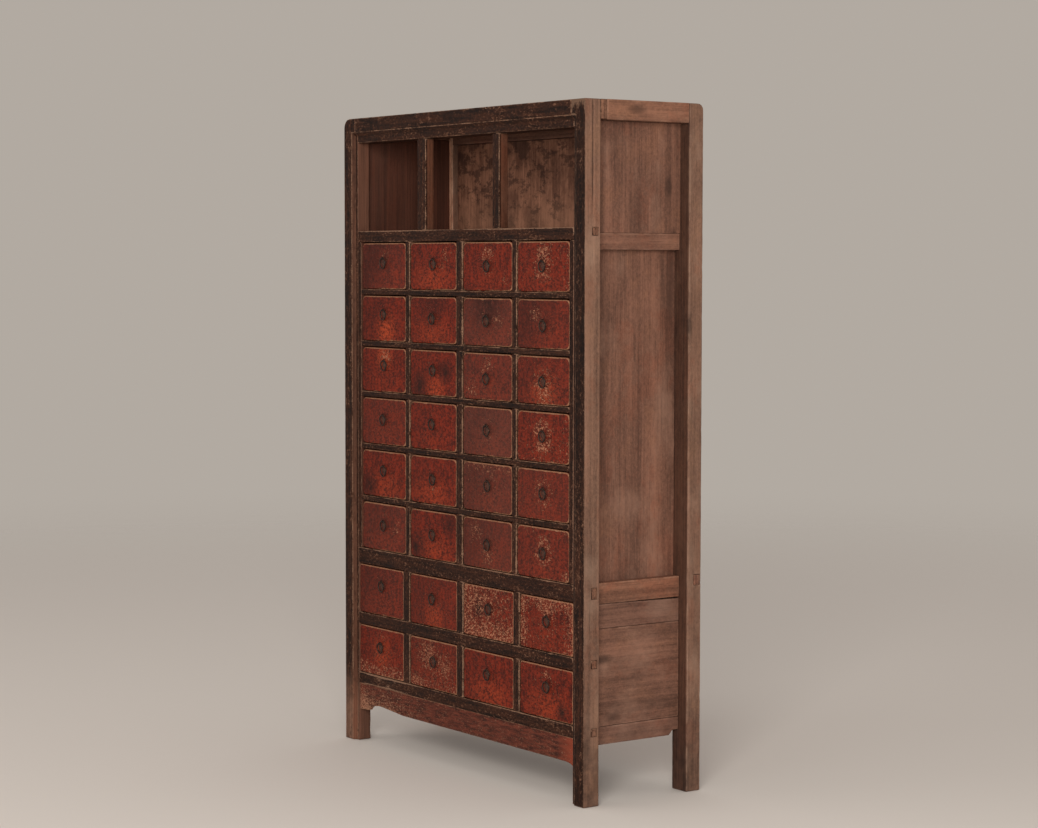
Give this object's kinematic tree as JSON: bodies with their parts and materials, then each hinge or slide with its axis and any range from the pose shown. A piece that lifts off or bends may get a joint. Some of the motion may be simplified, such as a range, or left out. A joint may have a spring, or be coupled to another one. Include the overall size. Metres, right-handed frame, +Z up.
{
  "type": "apothecary cabinet",
  "caption": "Tall lacquered wooden medicine chest with an open display compartment above rows of small sliding drawers with ring pulls, on square post feet.",
  "frame": {"origin": "on the floor under the middle of the cabinet", "axes": "+Z up, the drawers face -Y, +X to the right of someone who faces the drawers"},
  "size_m": [1.22, 0.406, 1.9],
  "materials": {
    "black_lacquer": "worn dark brown to black lacquer on wood",
    "red_lacquer": "worn red lacquer on wood, rubbed through at the edges",
    "weathered_wood": "dry, unpainted old wood with open grain",
    "interior_wood": "unfinished stained wood",
    "iron": "dark forged iron"
  },
  "bodies": {
    "carcass": {"post_front_left": "weathered_wood", "post_front_right": "weathered_wood", "post_back_left": "weathered_wood", "post_back_right": "weathered_wood", "top_rail_left": "weathered_wood", "top_rail_right": "weathered_wood", "top_rail_back": "weathered_wood", "top_panel": "weathered_wood", "side_rail_upper_left": "weathered_wood", "side_rail_middle_left": "weathered_wood", "side_panel_upper_left": "weathered_wood", "side_panel_middle_left": "weathered_wood", "side_panel_lower_left": "weathered_wood", "side_rail_upper_right": "weathered_wood", "side_rail_middle_right": "weathered_wood", "side_panel_upper_right": "weathered_wood", "side_panel_middle_right": "weathered_wood", "side_panel_lower_right": "weathered_wood", "top_rail_front": "black_lacquer", "shelf_rail": "black_lacquer", "mid_rail": "black_lacquer", "bottom_rail": "black_lacquer", "compartment_post_left": "black_lacquer", "compartment_post_right": "black_lacquer", "drawer_rack_upper": "black_lacquer", "drawer_rack_lower": "black_lacquer", "back_panel": "interior_wood", "apron": "red_lacquer"},
    "drawer_r1_c1": {"drawer_r1_c1": "red_lacquer"},
    "drawer_r1_c2": {"drawer_r1_c2": "red_lacquer"},
    "drawer_r1_c3": {"drawer_r1_c3": "red_lacquer"},
    "drawer_r1_c4": {"drawer_r1_c4": "red_lacquer"},
    "drawer_r2_c1": {"drawer_r2_c1": "red_lacquer"},
    "drawer_r2_c2": {"drawer_r2_c2": "red_lacquer"},
    "drawer_r2_c3": {"drawer_r2_c3": "red_lacquer"},
    "drawer_r2_c4": {"drawer_r2_c4": "red_lacquer"},
    "drawer_r3_c1": {"drawer_r3_c1": "red_lacquer"},
    "drawer_r3_c2": {"drawer_r3_c2": "red_lacquer"},
    "drawer_r3_c3": {"drawer_r3_c3": "red_lacquer"},
    "drawer_r3_c4": {"drawer_r3_c4": "red_lacquer"},
    "drawer_r4_c1": {"drawer_r4_c1": "red_lacquer"},
    "drawer_r4_c2": {"drawer_r4_c2": "red_lacquer"},
    "drawer_r4_c3": {"drawer_r4_c3": "red_lacquer"},
    "drawer_r4_c4": {"drawer_r4_c4": "red_lacquer"},
    "drawer_r5_c1": {"drawer_r5_c1": "red_lacquer"},
    "drawer_r5_c2": {"drawer_r5_c2": "red_lacquer"},
    "drawer_r5_c3": {"drawer_r5_c3": "red_lacquer"},
    "drawer_r5_c4": {"drawer_r5_c4": "red_lacquer"},
    "drawer_r6_c1": {"drawer_r6_c1": "red_lacquer"},
    "drawer_r6_c2": {"drawer_r6_c2": "red_lacquer"},
    "drawer_r6_c3": {"drawer_r6_c3": "red_lacquer"},
    "drawer_r6_c4": {"drawer_r6_c4": "red_lacquer"},
    "drawer_r7_c1": {"drawer_r7_c1": "red_lacquer"},
    "drawer_r7_c2": {"drawer_r7_c2": "red_lacquer"},
    "drawer_r7_c3": {"drawer_r7_c3": "red_lacquer"},
    "drawer_r7_c4": {"drawer_r7_c4": "red_lacquer"},
    "drawer_r8_c1": {"drawer_r8_c1": "red_lacquer"},
    "drawer_r8_c2": {"drawer_r8_c2": "red_lacquer"},
    "drawer_r8_c3": {"drawer_r8_c3": "red_lacquer"},
    "drawer_r8_c4": {"drawer_r8_c4": "red_lacquer"}
  },
  "joints": [
    {"name": "slide_r1_c1", "type": "slide", "parent": "carcass", "child": "drawer_r1_c1", "axis": [0, -1, 0], "range_m": [0, 0.28]},
    {"name": "slide_r1_c2", "type": "slide", "parent": "carcass", "child": "drawer_r1_c2", "axis": [0, -1, 0], "range_m": [0, 0.28]},
    {"name": "slide_r1_c3", "type": "slide", "parent": "carcass", "child": "drawer_r1_c3", "axis": [0, -1, 0], "range_m": [0, 0.28]},
    {"name": "slide_r1_c4", "type": "slide", "parent": "carcass", "child": "drawer_r1_c4", "axis": [0, -1, 0], "range_m": [0, 0.28]},
    {"name": "slide_r2_c1", "type": "slide", "parent": "carcass", "child": "drawer_r2_c1", "axis": [0, -1, 0], "range_m": [0, 0.28]},
    {"name": "slide_r2_c2", "type": "slide", "parent": "carcass", "child": "drawer_r2_c2", "axis": [0, -1, 0], "range_m": [0, 0.28]},
    {"name": "slide_r2_c3", "type": "slide", "parent": "carcass", "child": "drawer_r2_c3", "axis": [0, -1, 0], "range_m": [0, 0.28]},
    {"name": "slide_r2_c4", "type": "slide", "parent": "carcass", "child": "drawer_r2_c4", "axis": [0, -1, 0], "range_m": [0, 0.28]},
    {"name": "slide_r3_c1", "type": "slide", "parent": "carcass", "child": "drawer_r3_c1", "axis": [0, -1, 0], "range_m": [0, 0.28]},
    {"name": "slide_r3_c2", "type": "slide", "parent": "carcass", "child": "drawer_r3_c2", "axis": [0, -1, 0], "range_m": [0, 0.28]},
    {"name": "slide_r3_c3", "type": "slide", "parent": "carcass", "child": "drawer_r3_c3", "axis": [0, -1, 0], "range_m": [0, 0.28]},
    {"name": "slide_r3_c4", "type": "slide", "parent": "carcass", "child": "drawer_r3_c4", "axis": [0, -1, 0], "range_m": [0, 0.28]},
    {"name": "slide_r4_c1", "type": "slide", "parent": "carcass", "child": "drawer_r4_c1", "axis": [0, -1, 0], "range_m": [0, 0.28]},
    {"name": "slide_r4_c2", "type": "slide", "parent": "carcass", "child": "drawer_r4_c2", "axis": [0, -1, 0], "range_m": [0, 0.28]},
    {"name": "slide_r4_c3", "type": "slide", "parent": "carcass", "child": "drawer_r4_c3", "axis": [0, -1, 0], "range_m": [0, 0.28]},
    {"name": "slide_r4_c4", "type": "slide", "parent": "carcass", "child": "drawer_r4_c4", "axis": [0, -1, 0], "range_m": [0, 0.28]},
    {"name": "slide_r5_c1", "type": "slide", "parent": "carcass", "child": "drawer_r5_c1", "axis": [0, -1, 0], "range_m": [0, 0.28]},
    {"name": "slide_r5_c2", "type": "slide", "parent": "carcass", "child": "drawer_r5_c2", "axis": [0, -1, 0], "range_m": [0, 0.28]},
    {"name": "slide_r5_c3", "type": "slide", "parent": "carcass", "child": "drawer_r5_c3", "axis": [0, -1, 0], "range_m": [0, 0.28]},
    {"name": "slide_r5_c4", "type": "slide", "parent": "carcass", "child": "drawer_r5_c4", "axis": [0, -1, 0], "range_m": [0, 0.28]},
    {"name": "slide_r6_c1", "type": "slide", "parent": "carcass", "child": "drawer_r6_c1", "axis": [0, -1, 0], "range_m": [0, 0.28]},
    {"name": "slide_r6_c2", "type": "slide", "parent": "carcass", "child": "drawer_r6_c2", "axis": [0, -1, 0], "range_m": [0, 0.28]},
    {"name": "slide_r6_c3", "type": "slide", "parent": "carcass", "child": "drawer_r6_c3", "axis": [0, -1, 0], "range_m": [0, 0.28]},
    {"name": "slide_r6_c4", "type": "slide", "parent": "carcass", "child": "drawer_r6_c4", "axis": [0, -1, 0], "range_m": [0, 0.28]},
    {"name": "slide_r7_c1", "type": "slide", "parent": "carcass", "child": "drawer_r7_c1", "axis": [0, -1, 0], "range_m": [0, 0.28]},
    {"name": "slide_r7_c2", "type": "slide", "parent": "carcass", "child": "drawer_r7_c2", "axis": [0, -1, 0], "range_m": [0, 0.28]},
    {"name": "slide_r7_c3", "type": "slide", "parent": "carcass", "child": "drawer_r7_c3", "axis": [0, -1, 0], "range_m": [0, 0.28]},
    {"name": "slide_r7_c4", "type": "slide", "parent": "carcass", "child": "drawer_r7_c4", "axis": [0, -1, 0], "range_m": [0, 0.28]},
    {"name": "slide_r8_c1", "type": "slide", "parent": "carcass", "child": "drawer_r8_c1", "axis": [0, -1, 0], "range_m": [0, 0.28]},
    {"name": "slide_r8_c2", "type": "slide", "parent": "carcass", "child": "drawer_r8_c2", "axis": [0, -1, 0], "range_m": [0, 0.28]},
    {"name": "slide_r8_c3", "type": "slide", "parent": "carcass", "child": "drawer_r8_c3", "axis": [0, -1, 0], "range_m": [0, 0.28]},
    {"name": "slide_r8_c4", "type": "slide", "parent": "carcass", "child": "drawer_r8_c4", "axis": [0, -1, 0], "range_m": [0, 0.28]}
  ]
}
